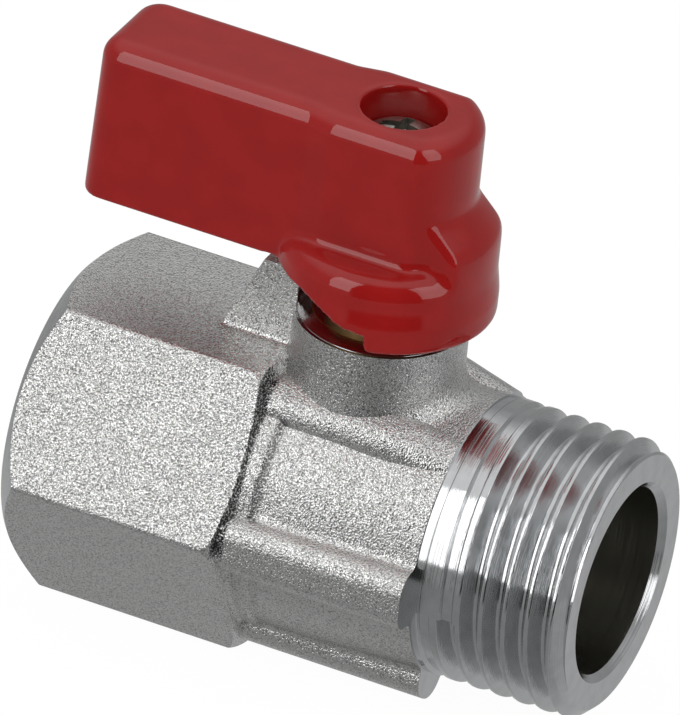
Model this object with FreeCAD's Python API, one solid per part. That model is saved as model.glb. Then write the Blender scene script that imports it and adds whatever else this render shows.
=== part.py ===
"""Mini lever ball valve, G 1/2 female by G 1/2 male, shown open with its lever over the female end.

Millimetres. The origin is the centre of the female mouth. +X runs along the waterway to the male end,
+Z runs up the stem, and +Y completes the frame.
"""

import FreeCAD, Part
import math
import os

Vec = FreeCAD.Vector

# Waterway layout along X
STEM_X = 23.6  # from the female mouth to the stem axis
OUTLET_REACH = 20.8  # from the stem axis to the male end face
SHOULDER_REACH = 9.0  # from the stem axis to the turned shoulder behind the male thread

# Pipe thread G 1/2: basic major and minor radii
THREAD_MAJOR_R = 10.4775
THREAD_MINOR_R = 9.3155
FEMALE_DEPTH = 11.6
FEMALE_CHAMFER = 0.45
MALE_CHAMFER = 0.85

# Spanner hexagon at the female end
HEX_ACROSS_FLATS = 23.4
HEX_CORNER_ROUND = 0.5
HEX_LENGTH = 17.55  # from the mouth to where the corners and the step cone would meet
HEX_FACE_R = 11.25  # flat annulus left by the turned chamfer
HEX_CHAMFER_LENGTH = 1.9
HEX_END_ROUND = 1.2
STEP_LENGTH = 0.85  # axial length of the forged cone behind the corners
BAND_R = 11.35  # low round band between the cone and the barrel
BAND_LENGTH = 1.2
BAND_RUN_OUT = 0.6  # axial length of the slope from the band to the barrel
BAND_ROUND = 0.4

# Barrel round the ball, with ribs in line with the hexagon's corners
BARREL_R = 11.0
BARREL_END_R = 10.6  # at the turned shoulder
SIDE_RIB_ANGLES = (0.0, 180.0)  # about X, from +Y towards +Z
SIDE_RIB_TIP_R = 12.6
SIDE_RIB_WIDTH = 4.7
SIDE_RIB_ROUND = 1.6
UNDER_RIB_ANGLES = (-60.0, -120.0)
UNDER_RIB_TIP_R = 12.45
UNDER_RIB_WIDTH = 4.3
UNDER_RIB_ROUND = 1.9
RIB_DRAFT = 0.15  # each side leans in by this much towards the tip
SHOULDER_RIB_ANGLES = (60.0, 120.0)  # low ribs either side of the neck
SHOULDER_RIB_R = 12.1
SHOULDER_RIB_END_R = 10.8  # at the turned shoulder
SHOULDER_RIB_BREAK = 3.8  # from the stem axis to where they start to fall
SHOULDER_RIB_WIDTH = 4.2
SHOULDER_RIB_ROUND = 1.8
RIB_FOOT_ROUND = 0.8

# Neck that guides the stem
NECK_R = 6.4
NECK_SKIN_TOP = 15.5  # the forged skin stops here
COLLAR_R = 6.1  # turned collar above the skin
NECK_TOP = 16.6
COLLAR_CHAMFER = 0.15
NECK_FOOT_ROUND = 1.9

# Stop lug that stands on the hexagon's top flat
LUG_THICKNESS = 3.8
LUG_TOP = 18.0
LUG_TOE_REACH = 11.6  # from the stem axis to the toe on the flat
LUG_TIP_REACH = 8.75  # from the stem axis to the outer top corner
LUG_ROOT_REACH = 5.9  # from the stem axis to the lug's root inside the collar
LUG_FOOT_ROUND = 0.4

# Ball and seats
BALL_R = 8.0
PORT_R = 5.0
PORT_LAND = 0.3  # width of the flat ring round each end of the port
SLOT_WIDTH = 3.0
SLOT_FLOOR = 6.1  # height of the slot's floor above the port axis
CHAMBER_GAP = 0.6
SEAT_R = 7.4
SEAT_BORE_R = 5.1
SEAT_NEAR = 4.4  # from the ball centre to the seat's inner face
SEAT_THICKNESS = 3.0
SEAT_GAP = 0.04
OUTLET_BORE_R = 7.1
OUTLET_BORE_CHAMFER = 0.5
OUTLET_WEB = 2.6  # wall between the outlet seat's pocket and the outlet bore

# Ring that screws in behind the female thread and holds the inlet seat
RETAINER_R = 9.0
RETAINER_BORE_R = 5.2
RETAINER_WEB = 3.6
RETAINER_LIP = 1.6  # how far the ring reaches round the seat
KEY_SLOT_WIDTH = 2.0
KEY_SLOT_DEPTH = 1.4

# Stem, its washer and its two seals
STEM_R = 3.95
STEM_COLLAR_R = 4.7
STEM_COLLAR_BOTTOM = 8.45
STEM_COLLAR_HEIGHT = 1.3
TANG_LENGTH = 7.0
TANG_FLOOR_GAP = 0.1
WASHER_THICKNESS = 0.8
SEAL_HEIGHTS = (12.0, 14.6)
SEAL_SECTION_R = 0.7
SEAL_SQUEEZE_GAP = 0.03
GROOVE_WIDTH = 1.6
FLATS_WIDTH = 5.6  # across the two flats that drive the lever
FLATS_BOTTOM = 17.2
STEM_TOP = 27.2
STEM_TOP_CHAMFER = 0.4
RUNNING_GAP = 0.05  # radial clearance of turning fits
FIT_GAP = 0.03  # clearance of parts that sit still in one another
LAP = 1.0  # how far joined forms and cuts run past the faces they meet
NEAR = 0.05  # how close an edge lies to the surface it is looked for on
TOUCH = 0.001  # how closely an edge matches the place it is picked by

# Lever: a flat blade, a hub over the stem and a round skirt over the neck
LEVER_TOP = 32.75
BLADE_BOTTOM = 20.0
BLADE_WIDTH = 8.8
BLADE_REACH = 23.0  # from the stem axis to the blade's end, at its foot
BLADE_LEAN = 0.5  # the end leans in by this much at the top
HUB_WIDTH = 9.8
HUB_NOSE_R = 6.0
HUB_REACH = 3.4  # from the stem axis back to where the hub narrows to the blade
HUB_TAPER = 2.2
SKIRT_R = 8.2  # band round the rim
SKIRT_WAIST_R = 7.95
SKIRT_BOTTOM = 16.7
SKIRT_BAND_TOP = 18.6
SKIRT_WAIST_FOOT = 20.4
SKIRT_TOP = 22.5
SKIRT_ROUND = 1.5
SKIRT_RIM_ROUND = 0.5
SKIRT_BORE_R = 6.9
SKIRT_ROOF = 19.4
NOSE_FLARE_WIDTH = 8.0  # the flare that carries the nose out to the skirt
NOSE_FLARE_TOP = 26.4
NOSE_FLARE_FOOT = 23.9
NOSE_FLARE_INSET = 0.3  # the cone ends this far inside the nose
EDGE_ROUND = 1.5
END_ROUND = 2.0
STOP_GAP = 0.15  # between the stop lug and the notch walls
NOTCH_LOW_ROOF = 18.15  # over the lug at the open stop
NOTCH_HIGH_ROOF = 19.85
NOTCH_RISE_RUN = 6.6  # length of the S curve between the two heights
NOTCH_EASE = 2.6
NOTCH_LIP_ROUND = 0.65  # corner between the notch walls and the rim
POCKET_WIDTH = 4.3
POCKET_END_WALL = 2.6
POCKET_ROOF_WALL = 2.4
POCKET_REACH = 9.6  # from the stem axis to the pocket's near end
POCKET_CORNER_ROUND = 1.0

# Screw that holds the lever on the stem, and its well
WELL_R = 3.1
SCREW_SEAT_RISE = 1.8  # of the well's floor over the stem's top
HEAD_R = 2.95
HEAD_HEIGHT = 2.2
HEAD_RIM = 1.1
SCREW_R = 1.95
SCREW_WAY_GAP = 0.15  # round the shank where it passes the lever
SCREW_LENGTH = 9.0
SCREW_HOLE_DEPTH = 9.6
DRIVE_DEPTH = 1.3
DRIVE_LENGTH = 3.4
DRIVE_WIDTH = 0.75
SOCKET_HEADROOM = 0.3  # over the top of the stem

OUTLET_X = STEM_X + OUTLET_REACH
SCREW_SEAT = STEM_TOP + SCREW_SEAT_RISE
SHOULDER_X = STEM_X + SHOULDER_REACH
CHAMBER_R = BALL_R + CHAMBER_GAP
SEAT_FAR = SEAT_NEAR + SEAT_THICKNESS
RETAINER_INNER_X = STEM_X - SEAT_FAR + RETAINER_LIP
RETAINER_OUTER_X = STEM_X - SEAT_FAR - RETAINER_WEB
WASHER_BOTTOM = STEM_COLLAR_BOTTOM + STEM_COLLAR_HEIGHT
WASHER_TOP = WASHER_BOTTOM + WASHER_THICKNESS
STEM_BORE_R = STEM_R + RUNNING_GAP
HALF_HEX = HEX_ACROSS_FLATS / 2
HEX_CORNER_R = HALF_HEX / math.cos(math.radians(30))


def polygon(points):
    """Flat face inside the closed outline that joins the points."""
    return Part.Face(Part.makePolygon(list(points) + [points[0]]))


def soft_polygon(corners):
    """Flat face inside an outline of (point, corner radius) pairs; radius 0 keeps a corner sharp."""
    arcs = []
    for index, (corner, radius) in enumerate(corners):
        back = (corners[index - 1][0] - corner).normalize()
        ahead = (corners[(index + 1) % len(corners)][0] - corner).normalize()
        half = back.getAngle(ahead) / 2
        inward = (back + ahead).normalize() if radius else back
        centre = corner + inward * (radius / math.sin(half))
        trim = radius / math.tan(half)
        arcs.append((corner + back * trim, centre - inward * radius, corner + ahead * trim, radius))
    edges = []
    for index, (start, middle, end, radius) in enumerate(arcs):
        if radius:
            edges.append(Part.Arc(start, middle, end).toShape())
        edges.append(Part.makeLine(end, arcs[(index + 1) % len(arcs)][0]))
    return Part.Face(Part.Wire(edges))


def turned_x(outline):
    """Solid turned about the waterway axis from (x, radius) points."""
    face = polygon([Vec(x, radius, 0) for x, radius in outline])
    return face.revolve(Vec(0, 0, 0), Vec(1, 0, 0), 360)


def turned_z(outline):
    """Solid turned about the stem axis from (radius, z) points."""
    face = polygon([Vec(STEM_X + radius, 0, z) for radius, z in outline])
    return face.revolve(Vec(STEM_X, 0, 0), Vec(0, 0, 1), 360)


def stem_cylinder(radius, bottom, top):
    """Upright cylinder on the stem axis."""
    return Part.makeCylinder(radius, top - bottom, Vec(STEM_X, 0, bottom))


def flow_cylinder(radius, start, end):
    """Cylinder on the waterway axis."""
    return Part.makeCylinder(radius, end - start, Vec(start, 0, 0), Vec(1, 0, 0))


def block(low, high):
    """Box between two corners."""
    return Part.makeBox(high[0] - low[0], high[1] - low[1], high[2] - low[2], Vec(*low))


def edges_where(shape, test):
    """Edges whose middle point passes the test."""
    picked = []
    for edge in shape.Edges:
        middle = edge.valueAt((edge.FirstParameter + edge.LastParameter) / 2)
        if test(middle, edge):
            picked.append(edge)
    return picked


def is_ring(edge, radius):
    """True for a circular edge of the given radius."""
    return isinstance(edge.Curve, Part.Circle) and abs(edge.Curve.Radius - radius) < TOUCH


def is_upright(edge):
    """True for a straight edge along Z."""
    return isinstance(edge.Curve, Part.Line) and abs(edge.Curve.Direction.z) > 0.99


def hexagon_end():
    """Spanner hexagon with soft corners, a turned chamfer at the mouth and a forged cone behind."""
    corners = []
    for step in range(6):
        angle = math.radians(60 * step)
        corners.append(Vec(0, HEX_CORNER_R * math.cos(angle), HEX_CORNER_R * math.sin(angle)))
    foot = HEX_LENGTH + STEP_LENGTH
    brow = foot + BAND_LENGTH
    end = brow + BAND_RUN_OUT
    prism = polygon(corners).extrude(Vec(end, 0, 0))
    ridges = edges_where(prism, lambda middle, edge: abs(edge.Length - end) < TOUCH)
    prism = prism.makeFillet(HEX_CORNER_ROUND, ridges)
    blank = soft_polygon([
        (Vec(0, 0, 0), 0),
        (Vec(0, HEX_FACE_R, 0), 0),
        (Vec(HEX_CHAMFER_LENGTH, HEX_CORNER_R, 0), 0),
        (Vec(HEX_LENGTH, HEX_CORNER_R, 0), HEX_END_ROUND),
        (Vec(foot, BAND_R, 0), BAND_ROUND),
        (Vec(brow, BAND_R, 0), BAND_ROUND),
        (Vec(end, BARREL_END_R, 0), 0),
        (Vec(end, 0, 0), 0),
    ])
    return prism.common(blank.revolve(Vec(0, 0, 0), Vec(1, 0, 0), 360))


def barrel():
    """Slightly tapered forged barrel from inside the hexagon to the turned shoulder."""
    start = HEX_LENGTH - 4 * LAP
    return turned_x([
        (start, 0),
        (start, BARREL_R),
        (STEM_X, BARREL_R),
        (SHOULDER_X, BARREL_END_R),
        (SHOULDER_X, 0),
    ])


def rib(angle, tip_r, width, tip_round):
    """Rib along the barrel with drafted sides and a round crown."""
    start = HEX_LENGTH - 2 * LAP
    base = BARREL_END_R - LAP
    half = width / 2
    section = polygon([
        Vec(start, base, -half),
        Vec(start, tip_r, RIB_DRAFT - half),
        Vec(start, tip_r, half - RIB_DRAFT),
        Vec(start, base, half),
    ])
    bar = section.extrude(Vec(SHOULDER_X - start, 0, 0))
    crowns = edges_where(bar, lambda middle, edge: middle.y > tip_r - TOUCH
                         and abs(middle.z) > half - RIB_DRAFT - TOUCH)
    bar = bar.makeFillet(tip_round, crowns)
    bar.rotate(Vec(0, 0, 0), Vec(1, 0, 0), angle)
    return bar


def shoulder_rib(angle):
    """Low rib beside the neck that falls towards the turned shoulder."""
    start = HEX_LENGTH - 2 * LAP
    base = BARREL_END_R - LAP
    half = SHOULDER_RIB_WIDTH / 2
    side = polygon([
        Vec(start, base, -half),
        Vec(start, SHOULDER_RIB_R, -half),
        Vec(STEM_X + SHOULDER_RIB_BREAK, SHOULDER_RIB_R, -half),
        Vec(SHOULDER_X, SHOULDER_RIB_END_R, -half),
        Vec(SHOULDER_X, base, -half),
    ])
    bar = side.extrude(Vec(0, 0, 2 * half))
    crests = edges_where(bar, lambda middle, edge: middle.y > BARREL_END_R and abs(middle.z) > half - TOUCH
                         and start < middle.x < SHOULDER_X)
    bar = bar.makeFillet(SHOULDER_RIB_ROUND, crests)
    bar.rotate(Vec(0, 0, 0), Vec(1, 0, 0), angle)
    return bar


def high_ribs():
    """Ribs at the sides of the barrel and under it."""
    side = [rib(angle, SIDE_RIB_TIP_R, SIDE_RIB_WIDTH, SIDE_RIB_ROUND) for angle in SIDE_RIB_ANGLES]
    under = [rib(angle, UNDER_RIB_TIP_R, UNDER_RIB_WIDTH, UNDER_RIB_ROUND) for angle in UNDER_RIB_ANGLES]
    return side + under


def neck():
    """Forged neck with the turned collar on top."""
    return turned_z([
        (0, 0),
        (NECK_R, 0),
        (NECK_R, NECK_SKIN_TOP),
        (COLLAR_R, NECK_SKIN_TOP),
        (COLLAR_R, NECK_TOP - COLLAR_CHAMFER),
        (COLLAR_R - COLLAR_CHAMFER, NECK_TOP),
        (0, NECK_TOP),
    ])


def stop_lug():
    """Gusset on the hexagon's top flat that both ends of the lever's travel meet."""
    side = polygon([
        Vec(STEM_X - LUG_TOE_REACH, -LUG_THICKNESS / 2, HALF_HEX - LAP),
        Vec(STEM_X - LUG_TOE_REACH, -LUG_THICKNESS / 2, HALF_HEX),
        Vec(STEM_X - LUG_TIP_REACH, -LUG_THICKNESS / 2, LUG_TOP),
        Vec(STEM_X - LUG_ROOT_REACH, -LUG_THICKNESS / 2, LUG_TOP),
        Vec(STEM_X - LUG_ROOT_REACH, -LUG_THICKNESS / 2, HALF_HEX - LAP),
    ])
    return side.extrude(Vec(0, LUG_THICKNESS, 0))


def rib_feet(trunk):
    """Lengthwise edges between the ribs and the barrel."""
    def is_foot(middle, edge):
        radius = math.hypot(middle.y, middle.z)
        return edge.BoundBox.XLength > LAP and radius < BARREL_R + NEAR and middle.x > HEX_LENGTH - 2 * LAP
    return edges_where(trunk, is_foot)


def neck_foot(trunk):
    """Edges between the neck and the barrel."""
    def is_foot(middle, edge):
        off_neck = math.hypot(middle.x - STEM_X, middle.y) - NECK_R
        return abs(off_neck) < TOUCH and NECK_R < middle.z < NECK_SKIN_TOP - LAP and not is_upright(edge)
    return edges_where(trunk, is_foot)


def body_skin():
    """Outside of the forging: barrel, ribs, neck, hexagon and stop lug."""
    ribbed = barrel().fuse(high_ribs()).removeSplitter()
    ribbed = ribbed.makeFillet(RIB_FOOT_ROUND, rib_feet(ribbed))
    necked = barrel().fuse(neck())
    necked = necked.makeFillet(NECK_FOOT_ROUND, neck_foot(necked))
    low_ribs = [shoulder_rib(angle) for angle in SHOULDER_RIB_ANGLES]
    skin = ribbed.fuse(low_ribs + [necked, hexagon_end(), stop_lug()])
    return skin.removeSplitter()


def male_end():
    """Male spigot at the thread's major radius, with its lead chamfer."""
    start = SHOULDER_X - LAP
    return turned_x([
        (start, 0),
        (start, THREAD_MAJOR_R),
        (OUTLET_X - MALE_CHAMFER, THREAD_MAJOR_R),
        (OUTLET_X, THREAD_MAJOR_R - MALE_CHAMFER),
        (OUTLET_X, 0),
    ])


def body_hollows():
    """Everything that the body's bores remove."""
    pocket_end = STEM_X + SEAT_FAR
    waterway = turned_x([
        (0, 0),
        (0, THREAD_MINOR_R + FEMALE_CHAMFER),
        (FEMALE_CHAMFER, THREAD_MINOR_R),
        (FEMALE_DEPTH, THREAD_MINOR_R),
        (FEMALE_DEPTH, RETAINER_R + FIT_GAP),
        (RETAINER_INNER_X + FIT_GAP, RETAINER_R + FIT_GAP),
        (RETAINER_INNER_X + FIT_GAP, CHAMBER_R),
        (STEM_X + SEAT_NEAR, CHAMBER_R),
        (STEM_X + SEAT_NEAR, SEAT_R + FIT_GAP),
        (pocket_end, SEAT_R + FIT_GAP),
        (pocket_end, PORT_R),
        (pocket_end + OUTLET_WEB, PORT_R),
        (pocket_end + OUTLET_WEB, OUTLET_BORE_R),
        (OUTLET_X - OUTLET_BORE_CHAMFER, OUTLET_BORE_R),
        (OUTLET_X, OUTLET_BORE_R + OUTLET_BORE_CHAMFER),
        (OUTLET_X, 0),
    ])
    stem_bore = stem_cylinder(STEM_BORE_R, 0, NECK_TOP)
    collar_room = stem_cylinder(STEM_COLLAR_R + RUNNING_GAP, 0, WASHER_TOP)
    return waterway.fuse([stem_bore, collar_room])


def lug_foot(shape):
    """Edges where the stop lug meets the hexagon's top flat."""
    return edges_where(shape, lambda middle, edge: isinstance(edge.Curve, Part.Line)
                       and abs(middle.z - HALF_HEX) < TOUCH
                       and abs(middle.y) < LUG_THICKNESS / 2 + TOUCH
                       and STEM_X - LUG_TOE_REACH - TOUCH < middle.x < STEM_X - COLLAR_R)


def valve_body():
    """Forged and turned body in one piece."""
    skin = body_skin()
    skin = skin.makeFillet(LUG_FOOT_ROUND, lug_foot(skin))
    return skin.fuse(male_end()).cut(body_hollows()).removeSplitter()


def seat_retainer():
    """Screwed ring with two key slots that holds the inlet seat against the ball."""
    seat_back = STEM_X - SEAT_FAR
    ring = turned_x([
        (RETAINER_OUTER_X, RETAINER_BORE_R),
        (RETAINER_OUTER_X, RETAINER_R),
        (RETAINER_INNER_X, RETAINER_R),
        (RETAINER_INNER_X, SEAT_R + FIT_GAP),
        (seat_back, SEAT_R + FIT_GAP),
        (seat_back, RETAINER_BORE_R),
    ])
    key = block((RETAINER_OUTER_X - LAP, -RETAINER_R - LAP, -KEY_SLOT_WIDTH / 2),
                (RETAINER_OUTER_X + KEY_SLOT_DEPTH, RETAINER_R + LAP, KEY_SLOT_WIDTH / 2))
    return ring.cut(key)


def seat(side):
    """Soft seat ring with a spherical face; side is -1 at the inlet and +1 at the outlet."""
    ring = turned_x([
        (STEM_X + side * SEAT_NEAR, SEAT_BORE_R),
        (STEM_X + side * SEAT_NEAR, SEAT_R),
        (STEM_X + side * SEAT_FAR, SEAT_R),
        (STEM_X + side * SEAT_FAR, SEAT_BORE_R),
    ])
    return ring.cut(Part.makeSphere(BALL_R + SEAT_GAP, Vec(STEM_X, 0, 0)))


def ball():
    """Drilled ball with flats at the port's ends and a slot across its top for the stem's tang."""
    flat_reach = math.sqrt(BALL_R ** 2 - (PORT_R + PORT_LAND) ** 2)
    sphere = Part.makeSphere(BALL_R, Vec(STEM_X, 0, 0))
    sphere = sphere.common(flow_cylinder(BALL_R + LAP, STEM_X - flat_reach, STEM_X + flat_reach))
    port = flow_cylinder(PORT_R, STEM_X - BALL_R, STEM_X + BALL_R)
    slot = block((STEM_X - SLOT_WIDTH / 2, -BALL_R, SLOT_FLOOR),
                 (STEM_X + SLOT_WIDTH / 2, BALL_R, BALL_R + LAP))
    return sphere.cut(port).cut(slot)


def stem():
    """Stem with a tang for the ball, a retaining collar, two seal grooves and flats for the lever."""
    groove_r = STEM_BORE_R - SEAL_SQUEEZE_GAP - 2 * SEAL_SECTION_R - FIT_GAP
    outline = [(0, STEM_COLLAR_BOTTOM), (STEM_COLLAR_R, STEM_COLLAR_BOTTOM), (STEM_COLLAR_R, WASHER_BOTTOM),
               (STEM_R, WASHER_BOTTOM)]
    for height in SEAL_HEIGHTS:
        outline.append((STEM_R, height - GROOVE_WIDTH / 2))
        outline.append((groove_r, height - GROOVE_WIDTH / 2))
        outline.append((groove_r, height + GROOVE_WIDTH / 2))
        outline.append((STEM_R, height + GROOVE_WIDTH / 2))
    outline += [(STEM_R, STEM_TOP - STEM_TOP_CHAMFER), (STEM_R - STEM_TOP_CHAMFER, STEM_TOP), (0, STEM_TOP)]
    shaft = turned_z(outline)
    for side in (-1, 1):
        inner = side * FLATS_WIDTH / 2
        outer = side * (STEM_R + LAP)
        shaft = shaft.cut(block((STEM_X - STEM_R - LAP, min(inner, outer), FLATS_BOTTOM),
                                (STEM_X + STEM_R + LAP, max(inner, outer), STEM_TOP + LAP)))
    tang_half = SLOT_WIDTH / 2 - RUNNING_GAP
    tang = block((STEM_X - tang_half, -TANG_LENGTH / 2, SLOT_FLOOR + TANG_FLOOR_GAP),
                 (STEM_X + tang_half, TANG_LENGTH / 2, STEM_COLLAR_BOTTOM + LAP))
    screw_hole = stem_cylinder(SCREW_R + FIT_GAP, STEM_TOP - SCREW_HOLE_DEPTH, STEM_TOP + LAP)
    return shaft.fuse(tang).cut(screw_hole)


def thrust_washer():
    """Flat washer between the stem's collar and the body."""
    return turned_z([
        (STEM_R + FIT_GAP, WASHER_BOTTOM),
        (STEM_COLLAR_R, WASHER_BOTTOM),
        (STEM_COLLAR_R, WASHER_TOP),
        (STEM_R + FIT_GAP, WASHER_TOP),
    ])


def stem_seal(height):
    """Rubber ring in one of the stem's grooves."""
    ring_r = STEM_BORE_R - SEAL_SQUEEZE_GAP - SEAL_SECTION_R
    return Part.makeTorus(ring_r, SEAL_SECTION_R, Vec(STEM_X, 0, height), Vec(0, 0, 1))


def blade():
    """Flat finger blade whose end leans in a little towards the top."""
    end = STEM_X - BLADE_REACH
    side = polygon([
        Vec(end, -BLADE_WIDTH / 2, BLADE_BOTTOM),
        Vec(end + BLADE_LEAN, -BLADE_WIDTH / 2, LEVER_TOP),
        Vec(STEM_X, -BLADE_WIDTH / 2, LEVER_TOP),
        Vec(STEM_X, -BLADE_WIDTH / 2, BLADE_BOTTOM),
    ])
    plate = side.extrude(Vec(0, BLADE_WIDTH, 0))
    corners = edges_where(plate, lambda middle, edge: middle.x < end + LAP
                          and abs(abs(middle.y) - BLADE_WIDTH / 2) < TOUCH)
    return plate.makeFillet(END_ROUND, corners)


def hub():
    """Hub with flat sides, a round nose and a short taper down to the blade."""
    half = HUB_WIDTH / 2
    narrow = BLADE_WIDTH / 2 - FIT_GAP
    flank = math.sqrt(HUB_NOSE_R ** 2 - half ** 2)
    back = STEM_X - HUB_REACH
    plan = Part.Wire([
        Part.makeLine(Vec(STEM_X + flank, half, BLADE_BOTTOM), Vec(back, half, BLADE_BOTTOM)),
        Part.makeLine(Vec(back, half, BLADE_BOTTOM), Vec(back - HUB_TAPER, narrow, BLADE_BOTTOM)),
        Part.makeLine(Vec(back - HUB_TAPER, narrow, BLADE_BOTTOM),
                      Vec(back - HUB_TAPER, -narrow, BLADE_BOTTOM)),
        Part.makeLine(Vec(back - HUB_TAPER, -narrow, BLADE_BOTTOM), Vec(back, -half, BLADE_BOTTOM)),
        Part.makeLine(Vec(back, -half, BLADE_BOTTOM), Vec(STEM_X + flank, -half, BLADE_BOTTOM)),
        Part.Arc(Vec(STEM_X + flank, -half, BLADE_BOTTOM), Vec(STEM_X + HUB_NOSE_R, 0, BLADE_BOTTOM),
                 Vec(STEM_X + flank, half, BLADE_BOTTOM)).toShape(),
    ])
    return Part.Face(plan).extrude(Vec(0, 0, LEVER_TOP - BLADE_BOTTOM))


def skirt():
    """Round skirt over the neck, with a rounded shoulder."""
    ring = turned_z([
        (0, SKIRT_BOTTOM),
        (SKIRT_R, SKIRT_BOTTOM),
        (SKIRT_R, SKIRT_BAND_TOP),
        (SKIRT_WAIST_R, SKIRT_WAIST_FOOT),
        (SKIRT_WAIST_R, SKIRT_TOP),
        (0, SKIRT_TOP),
    ])
    shoulder = edges_where(ring, lambda middle, edge: is_ring(edge, SKIRT_WAIST_R)
                           and middle.z > SKIRT_TOP - LAP)
    rim = edges_where(ring, lambda middle, edge: is_ring(edge, SKIRT_R) and middle.z < SKIRT_BOTTOM + LAP)
    return ring.makeFillet(SKIRT_ROUND, shoulder).makeFillet(SKIRT_RIM_ROUND, rim)


def nose_flare():
    """Sloping shoulder that carries the hub's nose out to the skirt."""
    foot = SKIRT_WAIST_FOOT
    cone = turned_z([
        (0, foot),
        (SKIRT_WAIST_R, foot),
        (SKIRT_WAIST_R, NOSE_FLARE_FOOT),
        (HUB_NOSE_R - NOSE_FLARE_INSET, NOSE_FLARE_TOP),
        (0, NOSE_FLARE_TOP),
    ])
    brow = edges_where(cone, lambda middle, edge: is_ring(edge, SKIRT_WAIST_R) and middle.z > foot + LAP)
    cone = cone.makeFillet(SKIRT_ROUND, brow)
    half = NOSE_FLARE_WIDTH / 2
    slab = block((STEM_X, -half, foot), (STEM_X + SKIRT_R + LAP, half, NOSE_FLARE_TOP))
    return cone.common(slab)


def stop_notch():
    """Opening in the skirt that the stop lug stands in, closed at both ends of the travel."""
    wall = LUG_THICKNESS / 2 + STOP_GAP
    outer = SKIRT_R + LAP
    near = STEM_X + wall
    sill = SKIRT_BOTTOM - LAP
    rise = Part.BezierCurve()
    rise.setPoles([
        Vec(near, -outer, NOTCH_LOW_ROOF),
        Vec(near - NOTCH_EASE, -outer, NOTCH_LOW_ROOF),
        Vec(near - NOTCH_RISE_RUN + NOTCH_EASE, -outer, NOTCH_HIGH_ROOF),
        Vec(near - NOTCH_RISE_RUN, -outer, NOTCH_HIGH_ROOF),
    ])
    rest = Part.makePolygon([
        Vec(near - NOTCH_RISE_RUN, -outer, NOTCH_HIGH_ROOF),
        Vec(STEM_X - outer, -outer, NOTCH_HIGH_ROOF),
        Vec(STEM_X - outer, -outer, sill),
        Vec(near, -outer, sill),
        Vec(near, -outer, NOTCH_LOW_ROOF),
    ])
    roof = Part.Face(Part.Wire([rise.toShape()] + rest.Edges))
    return roof.extrude(Vec(0, outer + wall, 0))


def blade_pocket():
    """Core pocket in the blade's underside."""
    low = (STEM_X - BLADE_REACH + POCKET_END_WALL, -POCKET_WIDTH / 2, BLADE_BOTTOM - LAP)
    high = (STEM_X - POCKET_REACH, POCKET_WIDTH / 2, LEVER_TOP - POCKET_ROOF_WALL)
    pocket = block(low, high)
    return pocket.makeFillet(POCKET_CORNER_ROUND, edges_where(pocket, lambda middle, edge: is_upright(edge)))


def lever_outside():
    """Blade, hub, nose and skirt with their cast edge rounding."""
    top = blade().fuse(hub()).removeSplitter()
    crown = edges_where(top, lambda middle, edge: middle.z > LEVER_TOP - TOUCH)
    top = top.makeFillet(EDGE_ROUND, crown)
    return top.fuse([skirt(), nose_flare()]).removeSplitter()


def notch_lips():
    """Bars that round the corners between the notch walls and the rim."""
    wall = LUG_THICKNESS / 2 + STOP_GAP
    outer = SKIRT_R + LAP
    low = (STEM_X + wall, -outer, SKIRT_BOTTOM - LAP)
    high = (STEM_X + wall + NOTCH_LIP_ROUND, 0, SKIRT_BOTTOM + NOTCH_LIP_ROUND)
    centre = Vec(high[0], -outer, high[2])
    first = block(low, high).cut(Part.makeCylinder(NOTCH_LIP_ROUND, outer, centre, Vec(0, 1, 0)))
    return [first, first.mirror(Vec(STEM_X, 0, 0), Vec(1, -1, 0))]


def handle():
    """Cast lever: hollow skirt, driving socket, screw well, stop notch and core pocket."""
    solid = lever_outside()
    flat_half = FLATS_WIDTH / 2 + FIT_GAP
    socket = stem_cylinder(STEM_R + FIT_GAP, SKIRT_ROOF - LAP, STEM_TOP + SOCKET_HEADROOM)
    socket = socket.common(block((STEM_X - SKIRT_R, -flat_half, 0), (STEM_X + SKIRT_R, flat_half, LEVER_TOP)))
    cavity = stem_cylinder(SKIRT_BORE_R, SKIRT_BOTTOM - LAP, SKIRT_ROOF)
    screw_way = stem_cylinder(SCREW_R + SCREW_WAY_GAP, SKIRT_ROOF, SCREW_SEAT + LAP)
    well = stem_cylinder(WELL_R, SCREW_SEAT, LEVER_TOP + LAP)
    return solid.cut([cavity, socket, screw_way, well, stop_notch(), blade_pocket()] + notch_lips())


def handle_screw():
    """Pan-head screw with a cross recess."""
    under = SCREW_SEAT
    dome = turned_z([(0, under), (HEAD_R, under), (HEAD_R, under + HEAD_RIM), (0, under + HEAD_RIM)])
    dome_r = (HEAD_R ** 2 + (HEAD_HEIGHT - HEAD_RIM) ** 2) / 2 / (HEAD_HEIGHT - HEAD_RIM)
    cap = Part.makeSphere(dome_r, Vec(STEM_X, 0, under + HEAD_HEIGHT - dome_r))
    cap = cap.common(stem_cylinder(HEAD_R, under + HEAD_RIM, under + HEAD_HEIGHT))
    shank = stem_cylinder(SCREW_R, under - SCREW_LENGTH, under)
    screw = dome.fuse([cap, shank]).removeSplitter()
    crown = under + HEAD_HEIGHT
    for length, width in ((DRIVE_LENGTH, DRIVE_WIDTH), (DRIVE_WIDTH, DRIVE_LENGTH)):
        screw = screw.cut(block((STEM_X - length / 2, -width / 2, crown - DRIVE_DEPTH),
                                (STEM_X + length / 2, width / 2, crown + LAP)))
    return screw


PIECES = {
    "valve_body": valve_body,
    "seat_retainer": seat_retainer,
    "inlet_seat": lambda: seat(-1),
    "outlet_seat": lambda: seat(1),
    "ball": ball,
    "stem": stem,
    "thrust_washer": thrust_washer,
    "lower_stem_seal": lambda: stem_seal(SEAL_HEIGHTS[0]),
    "upper_stem_seal": lambda: stem_seal(SEAL_HEIGHTS[1]),
    "handle": handle,
    "handle_screw": handle_screw,
}

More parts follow.
